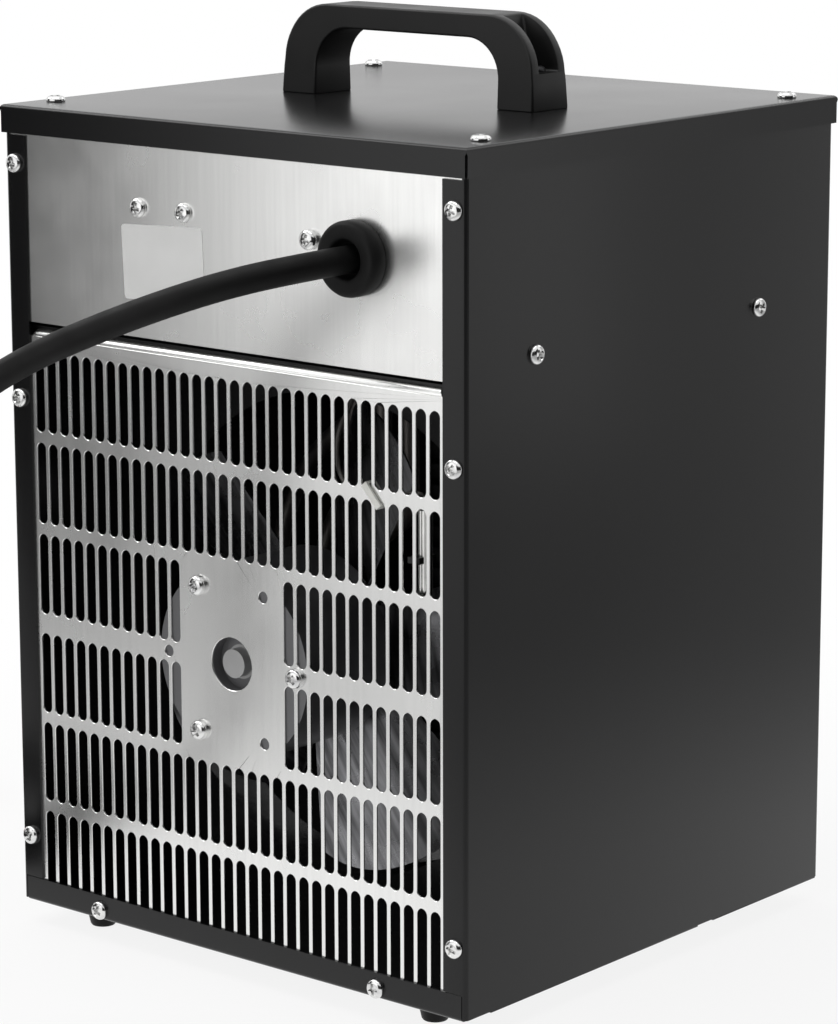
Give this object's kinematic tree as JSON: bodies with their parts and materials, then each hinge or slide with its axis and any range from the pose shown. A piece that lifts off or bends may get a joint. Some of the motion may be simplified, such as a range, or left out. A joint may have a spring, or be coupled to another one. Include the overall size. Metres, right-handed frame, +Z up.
{
  "type": "portable fan heater",
  "caption": "Box-shaped portable fan heater with slotted inlet grille, carrying handle, rubber feet, recessed controls and a cable with plug.",
  "frame": {"origin": "on the floor under the middle of the casing", "axes": "+Z up, -Y the air outlet and the controls, +Y the slotted inlet and the cable gland, +X to the right when looking at the inlet from inside, so left as seen from behind"},
  "size_m": [0.4788, 0.4109, 0.4076],
  "materials": {
    "black_paint": "satin powder coat",
    "galvanised": "bare galvanised sheet",
    "zinc": "bright zinc plate",
    "black_screw": "black oxide",
    "black_plastic": "fine matt moulding",
    "black_rubber": "matt rubber",
    "fan_metal": "rolled sheet",
    "motor_paint": "grey enamel",
    "steel": "machined steel",
    "element_steel": "heat-darkened tube",
    "bush_ceramic": "unglazed",
    "copper": "bare copper",
    "bulb_metal": "bright nickel",
    "white_nylon": "natural nylon",
    "grey_moulding": "phenolic moulding",
    "wire_cover": "wire insulation",
    "silver_sticker": "silver foil, blank",
    "red_plastic": "moulded plug housing",
    "grey_plastic": "moulded nut",
    "pin_brass": "nickel-plated brass"
  },
  "bodies": {
    "heater": {"top_cover": "black_paint", "side_panel_left": "black_paint", "side_panel_right": "black_paint", "base_pan": "black_paint", "front_control_panel": "black_paint", "front_grille": "black_paint", "fan_shroud": "black_paint", "partition_plate": "black_paint", "rear_upper_panel": "galvanised", "rear_grille": "galvanised", "element_bracket": "galvanised", "cover_screws": "zinc", "flange_screws": "zinc", "side_screws": "zinc", "terminal_screws": "zinc", "clamp_screw": "zinc", "motor_screws": "zinc", "washers": "zinc", "handle_nuts": "zinc", "handle_screws": "black_screw", "handle": "black_plastic", "mode_switch": "black_plastic", "bulb_clip": "black_plastic", "cable_tie": "black_plastic", "cable_clamp": "black_plastic", "foot_left_front": "black_rubber", "foot_left_rear": "black_rubber", "foot_right_front": "black_rubber", "foot_right_rear": "black_rubber", "cable_gland": "black_rubber", "cable_lead": "black_rubber", "cable_coil": "black_rubber", "cable_tail": "black_rubber", "motor_housing": "motor_paint", "motor_stator": "steel", "heating_element_outer": "element_steel", "heating_element_middle": "element_steel", "heating_element_inner": "element_steel", "element_bushes": "bush_ceramic", "star_link": "copper", "thermostat_bulb": "bulb_metal", "capillary_tie": "white_nylon", "terminal_block": "white_nylon", "thermostat": "grey_moulding", "thermal_cutout": "grey_moulding", "supply_wires": "wire_cover", "inner_wires": "wire_cover", "capillary_tube": "wire_cover", "rating_label": "silver_sticker", "plug_body": "red_plastic", "plug_nut": "grey_plastic", "plug_pins": "pin_brass"},
    "fan": {"motor_rotor": "steel", "motor_shaft": "steel", "fan_blades": "fan_metal", "fan_nut": "zinc"},
    "mode_control": {"mode_spindle": "steel", "mode_knob": "black_plastic"},
    "thermostat_control": {"thermostat_spindle": "steel", "thermostat_knob": "black_plastic"}
  },
  "joints": [
    {"name": "fan_spin", "type": "hinge", "parent": "heater", "child": "fan", "pos_m": [0, 0.05225, 0.1396], "axis": [0, 1, 0], "continuous": true},
    {"name": "mode_knob_turn", "type": "hinge", "parent": "heater", "child": "mode_control", "pos_m": [-0.052, -0.11, 0.32], "axis": [0, 1, 0], "range_deg": [0, 135]},
    {"name": "thermostat_knob_turn", "type": "hinge", "parent": "heater", "child": "thermostat_control", "pos_m": [0.052, -0.11, 0.32], "axis": [0, 1, 0], "range_deg": [-135, 135]}
  ]
}
